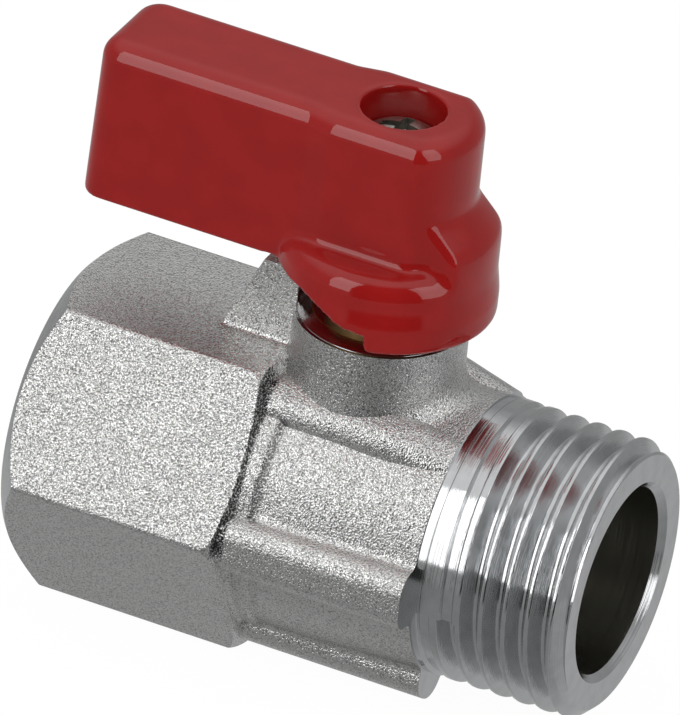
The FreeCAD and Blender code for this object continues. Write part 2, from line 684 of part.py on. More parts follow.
os.makedirs("parts", exist_ok=True)
for name, make in PIECES.items():
    piece = make()
    print(name, "solids", len(piece.Solids), "valid", piece.isValid(), "volume", round(piece.Volume, 1))
    piece.exportStep(f"parts/{name}.step")
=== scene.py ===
"""Mini lever ball valve, 1/2 inch, female by male: threads, forging, cast lever, finishes and studio."""

import logging
import math
from dataclasses import dataclass
from enum import Enum
from typing import Dict, Iterable, List, Tuple, Union

import bpy
from mathutils import Euler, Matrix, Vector

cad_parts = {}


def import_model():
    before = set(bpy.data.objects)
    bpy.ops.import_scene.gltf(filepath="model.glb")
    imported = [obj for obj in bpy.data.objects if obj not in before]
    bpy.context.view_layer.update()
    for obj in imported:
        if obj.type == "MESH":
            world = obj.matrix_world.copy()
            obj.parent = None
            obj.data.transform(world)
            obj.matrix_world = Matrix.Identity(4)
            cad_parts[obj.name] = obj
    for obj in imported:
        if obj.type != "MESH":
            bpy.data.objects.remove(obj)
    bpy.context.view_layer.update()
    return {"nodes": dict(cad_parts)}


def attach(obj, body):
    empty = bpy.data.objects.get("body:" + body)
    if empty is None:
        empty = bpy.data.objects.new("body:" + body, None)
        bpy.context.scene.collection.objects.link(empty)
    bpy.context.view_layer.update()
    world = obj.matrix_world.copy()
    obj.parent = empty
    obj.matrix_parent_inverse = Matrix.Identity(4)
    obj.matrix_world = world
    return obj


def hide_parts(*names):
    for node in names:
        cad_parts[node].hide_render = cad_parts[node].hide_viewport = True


LOG = logging.getLogger("valve")
MM = 0.001
MICRON = 1e-6
CAD_WELD = 0.002 * MM
TOOL_WELD = 0.0005 * MM
ROUND_STEPS = 96
MIX_COLOURS = (6, 7)
MIX_RESULT = 2
Colour = Tuple[float, float, float]
Place = Tuple[float, float, float]
Span = Tuple[float, float]


class Axis(Enum):
    """Axes that pieces are turned about."""

    FLOW = "flow"
    STEM = "stem"


# Shader arithmetic


class Signal:
    """One output socket that takes part in Python arithmetic."""

    def __init__(self, graph: "Graph", socket: bpy.types.NodeSocket) -> None:
        """Keeps the graph and the socket.

        Args:
            graph: The node graph that the socket belongs to.
            socket: The output socket.
        """
        self.graph = graph
        self.socket = socket

    def _math(self, operation: str, *terms: "Term") -> "Signal":
        """Adds a Math node.

        Args:
            operation: The node's operation.
            terms: Numbers or signals for its inputs, in order.

        Returns:
            The node's result.
        """
        return self.graph.signal("ShaderNodeMath", {"operation": operation}, dict(enumerate(terms)))

    def __add__(self, other: "Term") -> "Signal":
        """Self plus other."""
        return self._math("ADD", self, other)

    def __radd__(self, other: "Term") -> "Signal":
        """Other plus self."""
        return self._math("ADD", other, self)

    def __sub__(self, other: "Term") -> "Signal":
        """Self minus other."""
        return self._math("SUBTRACT", self, other)

    def __rsub__(self, other: "Term") -> "Signal":
        """Other minus self."""
        return self._math("SUBTRACT", other, self)

    def __mul__(self, other: "Term") -> "Signal":
        """Self times other."""
        return self._math("MULTIPLY", self, other)

    def __rmul__(self, other: "Term") -> "Signal":
        """Other times self."""
        return self._math("MULTIPLY", other, self)

    def __truediv__(self, other: "Term") -> "Signal":
        """Self divided by other."""
        return self._math("DIVIDE", self, other)

    def __rtruediv__(self, other: "Term") -> "Signal":
        """Other divided by self."""
        return self._math("DIVIDE", other, self)

    def __pow__(self, other: "Term") -> "Signal":
        """Self to the power of other."""
        return self._math("POWER", self, other)

    def __rpow__(self, other: "Term") -> "Signal":
        """Other to the power of self."""
        return self._math("POWER", other, self)

    def ramp(self, low: float, high: float) -> "Signal":
        """Smooth step from 0 at low to 1 at high.

        Args:
            low: Value that gives 0.
            high: Value that gives 1.

        Returns:
            The eased value.
        """
        return self.graph.signal(
            "ShaderNodeMapRange",
            {"interpolation_type": "SMOOTHSTEP"},
            {"Value": self, "From Min": low, "From Max": high},
        )


Term = Union[float, Signal]
Input = Union[float, Colour, Tuple[float, ...], Signal]


class Graph:
    """Node graph of one material or of the world."""

    def __init__(self, tree: bpy.types.NodeTree) -> None:
        """Clears the tree.

        Args:
            tree: Node tree to fill.
        """
        self.tree = tree
        self.tree.nodes.clear()

    def node(
        self, kind: str, settings: Dict[str, object], inputs: Dict[Union[str, int], Input]
    ) -> bpy.types.Node:
        """Adds a node with its settings and then its sockets.

        Args:
            kind: Blender's type name.
            settings: Properties of the node.
            inputs: Values or signals by socket name or number.

        Returns:
            The node.
        """
        made = self.tree.nodes.new(kind)
        for name, value in settings.items():
            setattr(made, name, value)
        for name, value in inputs.items():
            if isinstance(value, Signal):
                self.tree.links.new(value.socket, made.inputs[name])
            else:
                made.inputs[name].default_value = value
        return made

    def signal(
        self,
        kind: str,
        settings: Dict[str, object],
        inputs: Dict[Union[str, int], Input],
        output: Union[str, int] = 0,
    ) -> Signal:
        """Adds a node and hands back one of its outputs.

        Args:
            kind: Blender's type name.
            settings: Properties of the node.
            inputs: Values or signals by socket.
            output: Name or number of the output.

        Returns:
            That output.
        """
        return Signal(self, self.node(kind, settings, inputs).outputs[output])

    def place(self) -> Signal:
        """Object coordinates, in metres."""
        return self.signal("ShaderNodeTexCoord", {}, {}, "Object")

    def noise(self, where: Signal, grain: float, detail: float = 2.0, roughness: float = 0.5) -> Signal:
        """Noise whose features are about one grain wide.

        Args:
            where: Coordinates in metres.
            grain: Feature size in metres.
            detail: Octaves.
            roughness: Weight of the finer octaves.

        Returns:
            Values round 0.5.
        """
        return self.signal(
            "ShaderNodeTexNoise",
            {},
            {"Vector": where, "Scale": 1.0 / grain, "Detail": detail, "Roughness": roughness},
            "Fac",
        )

    def blend(self, share: Term, first: Input, second: Input) -> Signal:
        """Mixes two colours.

        Args:
            share: 0 gives the first, 1 the second.
            first: Colour or signal.
            second: Colour or signal.

        Returns:
            The mixed colour.
        """
        node = self.node("ShaderNodeMix", {"data_type": "RGBA"}, {0: share})
        for number, value in zip(MIX_COLOURS, (first, second)):
            socket = node.inputs[number]
            if isinstance(value, Signal):
                self.tree.links.new(value.socket, socket)
            else:
                socket.default_value = (*value[:3], 1.0)
        return Signal(self, node.outputs[MIX_RESULT])

    def bump(self, height: Signal, depth: float) -> Signal:
        """Bumped normal.

        Args:
            height: Height signal from 0 to 1.
            depth: Depth of a full step, in metres.

        Returns:
            The normal.
        """
        return self.signal("ShaderNodeBump", {}, {"Height": height, "Distance": depth, "Strength": 1.0})

    def split(self, vector: Signal) -> Tuple[Signal, Signal, Signal]:
        """Takes a vector apart.

        Args:
            vector: The vector.

        Returns:
            Its x, y and z.
        """
        parts = self.node("ShaderNodeSeparateXYZ", {}, {"Vector": vector})
        return Signal(self, parts.outputs[0]), Signal(self, parts.outputs[1]), Signal(self, parts.outputs[2])

    def around(self, where: Signal, axis: Axis, centre: Place) -> Signal:
        """Coordinates along and away from an axis, for marks that run round it.

        Args:
            where: Coordinates in metres.
            axis: The axis of the lathe.
            centre: A point on it.

        Returns:
            A vector of the place along the axis and the radius.
        """
        moved = self.signal(
            "ShaderNodeVectorMath", {"operation": "SUBTRACT"}, {0: where, 1: centre}, "Vector"
        )
        x, y, z = self.split(moved)
        along, first, second = (x, y, z) if axis is Axis.FLOW else (z, x, y)
        radius = (first * first + second * second) ** 0.5
        return self.signal("ShaderNodeCombineXYZ", {}, {"X": along, "Y": radius})


# Finishes


def principled(name: str, constants: Dict[str, Input]) -> Tuple[bpy.types.Material, Graph, bpy.types.Node]:
    """Starts a material with one Principled shader.

    Args:
        name: Name of the material.
        constants: Values that stay the same all over.

    Returns:
        The material, its graph and the shader node.
    """
    material = bpy.data.materials.new(name)
    material.use_nodes = True
    graph = Graph(material.node_tree)
    shader = graph.node("ShaderNodeBsdfPrincipled", {}, constants)
    out = graph.node("ShaderNodeOutputMaterial", {}, {})
    graph.tree.links.new(shader.outputs[0], out.inputs[0])
    return material, graph, shader


def wire(graph: Graph, shader: bpy.types.Node, colour: Signal, roughness: Signal, normal: Signal) -> None:
    """Links what varies over the surface to the shader.

    Args:
        graph: The material's graph.
        shader: Its Principled node.
        colour: Base colour.
        roughness: Roughness.
        normal: Bumped normal.
    """
    for name, signal in (("Base Color", colour), ("Roughness", roughness), ("Normal", normal)):
        graph.tree.links.new(signal.socket, shader.inputs[name])


def shaded(colour: Colour, share: float) -> Colour:
    """Darkens a colour.

    Args:
        colour: The colour.
        share: What is left of it.

    Returns:
        The darker colour.
    """
    return tuple(share * level for level in colour)


@dataclass(frozen=True)
class PaintedReflection:
    """Painted reflection, in metres: a dark line on the forging's upper side, behind the hexagon and,
    fainter, behind the band.

    It is fitted to the photograph, where it is probably a mirror image. It is no known mark.
    """

    # Colour of the painted reflection
    colour: Colour = (0.03, 0.03, 0.03)
    cone_start: Tuple[float, float] = (17.55 * MM, 13.51 * MM)
    cone_fall: float = 2.54
    cone_skin: Span = (0.05 * MM, 0.28 * MM)
    cone_entry: Span = (17.2 * MM, 17.5 * MM)
    cone_foot: float = 18.4 * MM
    foot_fade: Span = (0.05 * MM, 0.2 * MM)
    neck_clear: Span = (13.55 * MM, 13.7 * MM)
    brow: float = 19.6 * MM
    brow_fade: float = 0.1 * MM
    slope_fade: Span = (0.4 * MM, 0.7 * MM)
    rib_clear: Span = (11.4 * MM, 11.5 * MM)
    slope_share: float = 0.6
    upper_z: Span = (-1.0 * MM, -0.1 * MM)
    upper_y_squared: Span = (20e-6, 34e-6)

    def mask(self, graph: Graph, where: Signal) -> Signal:
        """Says where the dark reflection is painted.

        Args:
            graph: The material's graph.
            where: Coordinates in metres.

        Returns:
            0 on clean metal, up to 1 in the painted reflection.
        """
        x, y, z = graph.split(where)
        radius = (y * y + z * z) ** 0.5
        below = self.cone_start[1] - (x - self.cone_start[0]) * self.cone_fall - radius
        on_cone = 1.0 - below.ramp(*self.cone_skin)
        before_foot = 1.0 - x.ramp(self.cone_foot - self.foot_fade[0], self.cone_foot + self.foot_fade[1])
        off_neck = 1.0 - radius.ramp(*self.neck_clear)
        cone = on_cone * x.ramp(*self.cone_entry) * before_foot * off_neck
        past_brow = x.ramp(self.brow - self.brow_fade, self.brow + self.brow_fade)
        before_barrel = 1.0 - x.ramp(self.brow + self.slope_fade[0], self.brow + self.slope_fade[1])
        off_ribs = 1.0 - radius.ramp(*self.rib_clear)
        slope = past_brow * before_barrel * off_ribs
        # The painted reflection lies on the upper side only
        upper = z.ramp(*self.upper_z) * (y * y).ramp(*self.upper_y_squared)
        return (cone + self.slope_share * slope) * upper


@dataclass(frozen=True)
class BlastedPlate:
    """Bright plating over a blasted forging: small facets, bright and dull, and a painted dark reflection.
    """

    name: str = "blasted_plate"
    grain: float = 0.14 * MM
    coarse_grains: float = 6.0
    coarse_share: float = 0.3
    depth: float = 0.09 * MM
    bright: Colour = (0.74, 0.74, 0.73)
    dull: Colour = (0.45, 0.45, 0.44)
    facets: Span = (0.32, 0.5)
    painted_reflection: PaintedReflection = PaintedReflection()
    reflection_gaps: Span = (0.47, 0.6)
    gap_share: float = 0.8
    roughness: float = 0.14
    dulling: float = 0.08

    def make(self) -> bpy.types.Material:
        """Builds the material."""
        material, graph, shader = principled(self.name, {"Metallic": 1.0})
        where = graph.place()
        fine = graph.noise(where, self.grain, detail=1.0)
        coarse = graph.noise(where, self.grain * self.coarse_grains)
        tone = graph.blend(fine.ramp(*self.facets), self.dull, self.bright)
        covered = 1.0 - self.gap_share * fine.ramp(*self.reflection_gaps)
        # Painted reflection: the dark colour is blended in where the mask says, broken by the grain
        tone = graph.blend(self.painted_reflection.mask(graph, where) * covered, tone, self.painted_reflection.colour)
        roughness = self.roughness + self.dulling * coarse
        wire(graph, shader, tone, roughness, graph.bump(fine + self.coarse_share * coarse, self.depth))
        return material


@dataclass(frozen=True)
class TurnedPlate:
    """Bright plating over turned metal, with faint rings round the axis."""

    name: str = "turned_plate"
    axis: Axis = Axis.FLOW
    centre: Place = (0.0, 0.0, 0.0)
    colour: Colour = (0.64, 0.65, 0.66)
    groove: float = 0.1 * MM
    depth: float = 0.018 * MM
    roughness: float = 0.08
    dulling: float = 0.1
    cloud: float = 1.2 * MM
    clouded: Span = (0.3, 0.8)
    shade: float = 0.9

    def make(self) -> bpy.types.Material:
        """Builds the material."""
        material, graph, shader = principled(self.name, {"Metallic": 1.0})
        where = graph.place()
        rings = graph.noise(graph.around(where, self.axis, self.centre), self.groove, roughness=0.7)
        cloud = graph.noise(where, self.cloud)
        tone = graph.blend(cloud.ramp(*self.clouded), self.colour, shaded(self.colour, self.shade))
        roughness = self.roughness + self.dulling * cloud * rings
        wire(graph, shader, tone, roughness, graph.bump(rings, self.depth))
        return material


@dataclass(frozen=True)
class RedLacquer:
    """Glossy red lacquer on die-cast metal, with a faint ripple and fine dust."""

    name: str = "red_lacquer"
    colour: Colour = (0.42, 0.013, 0.012)
    deep: Colour = (0.38, 0.011, 0.010)
    ripple: float = 2.6 * MM
    rippled: Span = (0.3, 0.7)
    depth: float = 0.008 * MM
    dust: float = 0.25 * MM
    roughness: float = 0.32
    dulling: float = 0.1
    coat_roughness: float = 0.03

    def make(self) -> bpy.types.Material:
        """Builds the material."""
        constants: Dict[str, Input] = {
            "Metallic": 0.0,
            "IOR": 1.5,
            "Coat Weight": 1.0,
            "Coat Roughness": self.coat_roughness,
            "Specular IOR Level": 0.0,
        }
        material, graph, shader = principled(self.name, constants)
        where = graph.place()
        wave = graph.noise(where, self.ripple, roughness=0.4)
        dust = graph.noise(where, self.dust)
        tone = graph.blend(wave.ramp(*self.rippled), self.colour, self.deep)
        roughness = self.roughness + self.dulling * dust
        wire(graph, shader, tone, roughness, graph.bump(wave, self.depth))
        return material


@dataclass(frozen=True)
class PlainMetal:
    """Turned or rolled metal with its own colour and faint marks."""

    name: str
    colour: Colour
    roughness: float
    grain: float = 0.3 * MM
    depth: float = 0.01 * MM
    dulling: float = 0.15
    marked: Span = (0.3, 0.75)
    shade: float = 0.72

    def make(self) -> bpy.types.Material:
        """Builds the material."""
        material, graph, shader = principled(self.name, {"Metallic": 1.0})
        where = graph.place()
        marks = graph.noise(where, self.grain, detail=3.0, roughness=0.6)
        tone = graph.blend(marks.ramp(*self.marked), self.colour, shaded(self.colour, self.shade))
        roughness = self.roughness + self.dulling * marks
        wire(graph, shader, tone, roughness, graph.bump(marks, self.depth))
        return material


@dataclass(frozen=True)
class SoftPart:
    """Moulded or machined plastic or rubber."""

    name: str
    colour: Colour
    roughness: float
    grain: float = 0.6 * MM
    depth: float = 0.01 * MM
    dulling: float = 0.15
    shade: float = 0.85

    def make(self) -> bpy.types.Material:
        """Builds the material."""
        material, graph, shader = principled(self.name, {"Metallic": 0.0})
        where = graph.place()
        mottle = graph.noise(where, self.grain, detail=3.0)
        tone = graph.blend(mottle, self.colour, shaded(self.colour, self.shade))
        roughness = self.roughness + self.dulling * mottle
        wire(graph, shader, tone, roughness, graph.bump(mottle, self.depth))
        return material


# Bench work on meshes


class Bench:
    """Operators as they are used by hand, one piece at a time."""

    def pick(self, piece: bpy.types.Object) -> None:
        """Deselects everything and makes the piece active.

        Args:
            piece: The object to work on.
        """
        if bpy.context.object and bpy.context.object.mode != "OBJECT":
            bpy.ops.object.mode_set(mode="OBJECT")
        bpy.ops.object.select_all(action="DESELECT")
        piece.select_set(True)
        bpy.context.view_layer.objects.active = piece

    def copy_node(self, node: bpy.types.Object, name: str) -> bpy.types.Object:
        """Copies a CAD node and joins its loose triangles.

        Args:
            node: The CAD node's object.
            name: Name of the copy.

        Returns:
            The copy, merged and free of its stored normals.
        """
        piece = bpy.data.objects.new(name, node.data.copy())
        piece.data.name = name
        bpy.context.scene.collection.objects.link(piece)
        self.pick(piece)
        bpy.ops.mesh.customdata_custom_splitnormals_clear()
        bpy.ops.object.mode_set(mode="EDIT")
        bpy.ops.mesh.select_all(action="SELECT")
        bpy.ops.mesh.remove_doubles(threshold=CAD_WELD)
        bpy.ops.object.mode_set(mode="OBJECT")
        return piece

    def apply(self, piece: bpy.types.Object, kind: str, **settings: object) -> None:
        """Adds a modifier, sets it and applies it.

        Args:
            piece: The object.
            kind: Blender's modifier type.
            settings: Properties of the modifier.
        """
        self.pick(piece)
        modifier = piece.modifiers.new(kind.lower(), kind)
        for name, value in settings.items():
            setattr(modifier, name, value)
        bpy.ops.object.modifier_apply(modifier=modifier.name)

    def carve(self, piece: bpy.types.Object, tool: bpy.types.Object) -> None:
        """Cuts the tool's shape out of the piece and removes the tool.

        Args:
            piece: The object that stays.
            tool: The closed shape that is cut away.
        """
        self.apply(piece, "BOOLEAN", operation="DIFFERENCE", solver="EXACT", object=tool)
        bpy.data.objects.remove(tool)

    def weld(self, tool: bpy.types.Object, open_ends: bool) -> None:
        """Joins the doubled points of a swept tool and turns its faces outwards.

        Args:
            tool: The tool.
            open_ends: True where it still has ends to close.
        """
        self.pick(tool)
        bpy.ops.object.mode_set(mode="EDIT")
        bpy.ops.mesh.select_all(action="SELECT")
        bpy.ops.mesh.remove_doubles(threshold=TOOL_WELD)
        if open_ends:
            bpy.ops.mesh.select_all(action="DESELECT")
            bpy.ops.mesh.select_non_manifold()
            bpy.ops.mesh.fill_holes(sides=0)
            bpy.ops.mesh.select_all(action="SELECT")
        bpy.ops.mesh.normals_make_consistent(inside=False)
        bpy.ops.object.mode_set(mode="OBJECT")

    def settle(self, tool: bpy.types.Object, turn: Place, place: Place) -> None:
        """Turns and moves a tool for good.

        Args:
            tool: The tool.
            turn: Angles about X, Y and Z.
            place: Where its origin goes.
        """
        self.pick(tool)
        tool.rotation_euler = turn
        tool.location = place
        bpy.ops.object.transform_apply(location=True, rotation=True, scale=True)

    def outline(
        self, start: Tuple[float, float], steps: Iterable[Tuple[float, float]], name: str
    ) -> bpy.types.Object:
        """Draws a closed outline in the XY plane, corner by corner.

        Args:
            start: First corner.
            steps: Moves to the other corners.
            name: Name of the object.

        Returns:
            The object with the outline's edges.
        """
        bpy.ops.object.select_all(action="DESELECT")
        bpy.ops.mesh.primitive_plane_add(size=MM, location=(0.0, 0.0, 0.0))
        piece = bpy.context.object
        piece.name = name
        bpy.ops.object.mode_set(mode="EDIT")
        bpy.ops.mesh.select_mode(type="VERT")
        bpy.ops.mesh.select_all(action="SELECT")
        bpy.ops.mesh.merge(type="CENTER")
        bpy.ops.mesh.select_all(action="SELECT")
        bpy.ops.transform.translate(value=(start[0], start[1], 0.0))
        for step in steps:
            bpy.ops.mesh.extrude_vertices_move(TRANSFORM_OT_translate={"value": (step[0], step[1], 0.0)})
        bpy.ops.mesh.select_all(action="SELECT")
        bpy.ops.object.mode_set(mode="OBJECT")
        ends = (piece.data.vertices[0], piece.data.vertices[-1])
        for vertex in piece.data.vertices:
            vertex.select = vertex in ends
        bpy.ops.object.mode_set(mode="EDIT")
        bpy.ops.mesh.edge_face_add()
        bpy.ops.object.mode_set(mode="OBJECT")
        return piece

    def lathe(
        self, start: Tuple[float, float], steps: Iterable[Tuple[float, float]], name: str
    ) -> bpy.types.Object:
        """Turns a closed outline about the X axis.

        Args:
            start: First corner: place along the axis and radius.
            steps: Moves to the other corners.
            name: Name of the tool.

        Returns:
            The closed ring.
        """
        tool = self.outline(start, steps, name)
        self.apply(
            tool, "SCREW", axis="X", angle=2 * math.pi, screw_offset=0.0, iterations=1,
            steps=ROUND_STEPS, render_steps=ROUND_STEPS, use_merge_vertices=True,
            merge_threshold=TOOL_WELD, use_smooth_shade=False,
        )
        self.weld(tool, False)
        return tool


BENCH = Bench()


@dataclass(frozen=True)
class ThreadForm:
    """Parallel pipe thread of 55 degrees, in metres."""

    major: float = 10.4775 * MM
    minor: float = 9.3155 * MM
    pitch: float = 1.814 * MM
    crest_flat: float = 0.302 * MM
    land: float = 0.06 * MM
    clear: float = 0.3 * MM
    root_round: float = 0.1 * MM
    crest_round: float = 0.14 * MM
    corner_margin: float = 0.02 * MM
    steps: int = 72
    rounded: bool = True

    def cutter(self, inside: bool, start: float, turn: float, turns: int, name: str) -> bpy.types.Object:
        """Helical tool with the form of the groove.

        Args:
            inside: True for a thread in a bore, cut outwards.
            start: Place of the groove's middle along the axis.
            turn: Angle about the axis where it starts.
            turns: Number of turns.
            name: Name of the tool.

        Returns:
            The closed tool.
        """
        root, mouth = (self.major, self.minor) if inside else (self.minor, self.major)
        out = -1.0 if inside else 1.0
        depth = (self.major - self.minor) * out
        half_root = self.crest_flat / 2
        flank = self.pitch / 2 - self.crest_flat
        round_over = self.crest_flat / 2 - self.land / 2
        lift = self.clear * out
        tool = BENCH.outline(
            (start - half_root, root),
            [
                (2 * half_root, 0.0),
                (flank, depth),
                (round_over, 0.0),
                (0.0, lift),
                (-2 * (half_root + flank + round_over), 0.0),
                (0.0, -lift),
                (round_over, 0.0),
            ],
            name,
        )
        if self.rounded:
            self._round_corners(tool, root, mouth)
        BENCH.apply(
            tool, "SCREW", axis="X", angle=2 * math.pi, screw_offset=self.pitch, iterations=turns,
            steps=self.steps, render_steps=self.steps, use_merge_vertices=False, use_smooth_shade=False,
        )
        BENCH.weld(tool, True)
        BENCH.settle(tool, (turn, 0.0, 0.0), (0.0, 0.0, 0.0))
        return tool

    def _round_corners(self, tool: bpy.types.Object, root: float, mouth: float) -> None:
        """Rounds the root of the groove and the edges of the crests beside it.

        Args:
            tool: The outline.
            root: Radius of the groove's floor.
            mouth: Radius of the crests.
        """
        mouth_reach = self.pitch / 2 - self.crest_flat / 2 + self.corner_margin
        corners_at = ((root, self.pitch, self.root_round), (mouth, mouth_reach, self.crest_round))
        for level, widest, offset in corners_at:
            middle = sum(vertex.co.x for vertex in tool.data.vertices) / len(tool.data.vertices)
            for vertex in tool.data.vertices:
                on_level = abs(vertex.co.y - level) < MICRON
                vertex.select = on_level and abs(vertex.co.x - middle) < widest
            for edge in tool.data.edges:
                edge.select = False
            BENCH.pick(tool)
            bpy.ops.object.mode_set(mode="EDIT")
            bpy.ops.mesh.select_mode(type="VERT")
            bpy.ops.mesh.bevel(
                offset=offset, offset_type="OFFSET", segments=3, affect="VERTICES", clamp_overlap=True
            )
            bpy.ops.object.mode_set(mode="OBJECT")


class Region(Enum):
    """Parts of the body's surface by how they were made."""

    FORGED = 0
    TURNED = 1
    COLLAR = 2
    BARE = 3
    BORED = 4


@dataclass
class ForgedBody:
    """Body forging with its two threads, in metres.

    The collar's top is faced lower than the solid's 16.6 mm. Its height and the slope beside it are
    fitted to what the collar mirrors in the photograph.
    """

    stem_x: float = 23.6 * MM
    shoulder_x: float = 32.6 * MM
    outlet_x: float = 44.4 * MM
    collar_r: float = 6.1 * MM
    collar_foot: float = 15.5 * MM
    face_z: float = 15.86 * MM
    face_r: float = 5.15 * MM
    bare_width: float = 0.16 * MM
    collar_margin: float = 0.02 * MM
    collar_tool_r: float = 3.5 * MM
    collar_tool_height: float = 1.4 * MM
    collar_back: float = 5.8 * MM
    mark_x: float = 33.3 * MM
    mark_half: float = 0.1 * MM
    mark_flare: float = 1.7
    turns: int = 8
    turns_to_entry: float = 6.481
    entry_degrees: float = 186.8
    inlet_start: float = -2.0 * MM
    inlet_turns: int = 7
    flat_degrees: float = 0.3
    sharp_degrees: float = 25.0
    smooth_degrees: float = 28.0
    edge_round: float = 0.35 * MM
    margin: float = 0.05 * MM
    chamfer: float = 0.3 * MM
    bore_r: float = 7.3 * MM
    bore_tilt: float = 0.3
    inside_r: float = 10.3 * MM
    mouth_x: float = 1.9 * MM
    mouth_tilt: float = 0.2
    thread: ThreadForm = ThreadForm()
    run_out: ThreadForm = ThreadForm(minor=10.2 * MM, crest_flat=0.7 * MM, rounded=False)

    def build(self, node: bpy.types.Object) -> bpy.types.Object:
        """Copies the node, softens its forged ridges, faces the collar, cuts both threads and a tool mark.

        Args:
            node: The CAD body.

        Returns:
            The finished piece.
        """
        piece = BENCH.copy_node(node, "forged_body")
        self._soften(piece)
        self._face_collar(piece)
        half = self.thread.pitch / 2
        first = self.outlet_x + half - self.thread.pitch * self.turns_to_entry
        entry = math.radians(self.entry_degrees)
        BENCH.carve(piece, self.run_out.cutter(False, first, entry, 1, "run_out_groove"))
        second = first + self.thread.pitch
        BENCH.carve(piece, self.thread.cutter(False, second, entry, self.turns - 1, "male_groove"))
        mark = self.mark_half
        corner = (self.mark_x - mark, self.thread.major + mark)
        flare = self.mark_flare * mark
        BENCH.carve(piece, BENCH.lathe(corner, [(mark, -flare), (mark, flare)], "mark_tool"))
        inlet = self.thread.cutter(True, self.inlet_start, 0.0, self.inlet_turns, "female_groove")
        BENCH.carve(piece, inlet)
        return piece

    def _soften(self, piece: bpy.types.Object) -> None:
        """Rounds the sharp ridges of the forged skin; hollow corners stay as they are.

        Args:
            piece: The body.
        """
        BENCH.pick(piece)
        bpy.ops.object.mode_set(mode="EDIT")
        bpy.ops.mesh.select_all(action="SELECT")
        bpy.ops.mesh.dissolve_limited(angle_limit=math.radians(self.flat_degrees))
        bpy.ops.mesh.select_all(action="DESELECT")
        bpy.ops.mesh.select_mode(type="EDGE")
        bpy.ops.mesh.edges_select_sharp(sharpness=math.radians(self.sharp_degrees))
        bpy.ops.object.mode_set(mode="OBJECT")
        sides: Dict[Tuple[int, int], List[bpy.types.MeshPolygon]] = {}
        for face in piece.data.polygons:
            for key in face.edge_keys:
                sides.setdefault(key, []).append(face)
        for edge in piece.data.edges:
            pair = sides[edge.key]
            ridge = len(pair) == 2 and (pair[1].center - pair[0].center).dot(pair[0].normal) < 0.0
            start, end = (piece.data.vertices[number].co for number in edge.vertices)
            forged = self.region((start + end) / 2, Vector((0, 0, 0))) is Region.FORGED
            edge.select = edge.select and ridge and forged
        bpy.ops.object.mode_set(mode="EDIT")
        bpy.ops.mesh.bevel(
            offset=self.edge_round, segments=3, profile=0.5, affect="EDGES", clamp_overlap=True
        )
        bpy.ops.object.mode_set(mode="OBJECT")

    def _face_collar(self, piece: bpy.types.Object) -> None:
        """Turns the wide chamfer on the collar and faces its top.

        Args:
            piece: The body.
        """
        foot = self.collar_foot + self.collar_margin
        inner = self.collar_tool_r
        outer = self.collar_r + self.collar_margin
        tool = BENCH.lathe(
            (foot, outer),
            [
                (self.face_z - foot, self.face_r - outer),
                (0.0, -self.bare_width),
                (0.0, inner - self.face_r + self.bare_width),
                (self.collar_tool_height, 0.0),
                (0.0, outer - inner),
            ],
            "collar_tool",
        )
        BENCH.settle(tool, (0.0, -math.pi / 2, 0.0), (self.stem_x, 0.0, 0.0))
        BENCH.carve(piece, tool)

    def region(self, place: Vector, normal: Vector) -> Region:
        """Says how the surface at a place was made.

        Args:
            place: Point on the surface.
            normal: Outward normal there, or zero for an edge.

        Returns:
            The region.
        """
        radius = math.hypot(place.y, place.z)
        reach = math.hypot(place.x - self.stem_x, place.y)
        on_top = place.z > self.collar_foot - self.collar_margin and reach < self.collar_r + self.margin
        if on_top and place.x > self.stem_x - self.collar_back:
            bare = place.z > self.face_z - self.margin and reach > self.face_r - self.bare_width
            return Region.BARE if bare else Region.COLLAR
        in_outlet = self.shoulder_x < place.x < self.outlet_x - self.chamfer and radius < self.bore_r
        if in_outlet and abs(normal.x) < self.bore_tilt:
            return Region.BORED
        if place.x > self.shoulder_x - self.margin or place.x < self.margin or radius < self.inside_r:
            return Region.TURNED
        if place.x < self.mouth_x and normal.x < -self.mouth_tilt:
            return Region.TURNED
        return Region.FORGED

    def dress(self, piece: bpy.types.Object) -> None:
        """Gives each face the finish of its region and smooths the shading.

        Args:
            piece: The body.
        """
        BENCH.pick(piece)
        bpy.ops.object.shade_smooth_by_angle(angle=math.radians(self.smooth_degrees))
        BENCH.apply(piece, "WEIGHTED_NORMAL", mode="FACE_AREA", weight=100, keep_sharp=True)
        piece.data.materials.clear()
        for finish in (
            BlastedPlate(),
            TurnedPlate(),
            TurnedPlate("turned_collar", Axis.STEM, (self.stem_x, 0.0, 0.0)),
            PlainMetal("bare_edge", colour=(0.72, 0.5, 0.2), roughness=0.25),
            TurnedPlate(
                "bored_plate", colour=(0.56, 0.55, 0.5), groove=0.2 * MM, depth=0.03 * MM, roughness=0.2
            ),
        ):
            piece.data.materials.append(finish.make())
        for face in piece.data.polygons:
            face.material_index = self.region(face.center, face.normal).value


def unit(value: float) -> float:
    """Keeps a value between 0 and 1.

    Args:
        value: Any number.

    Returns:
        The number, or the nearer end.
    """
    return min(1.0, max(0.0, value))


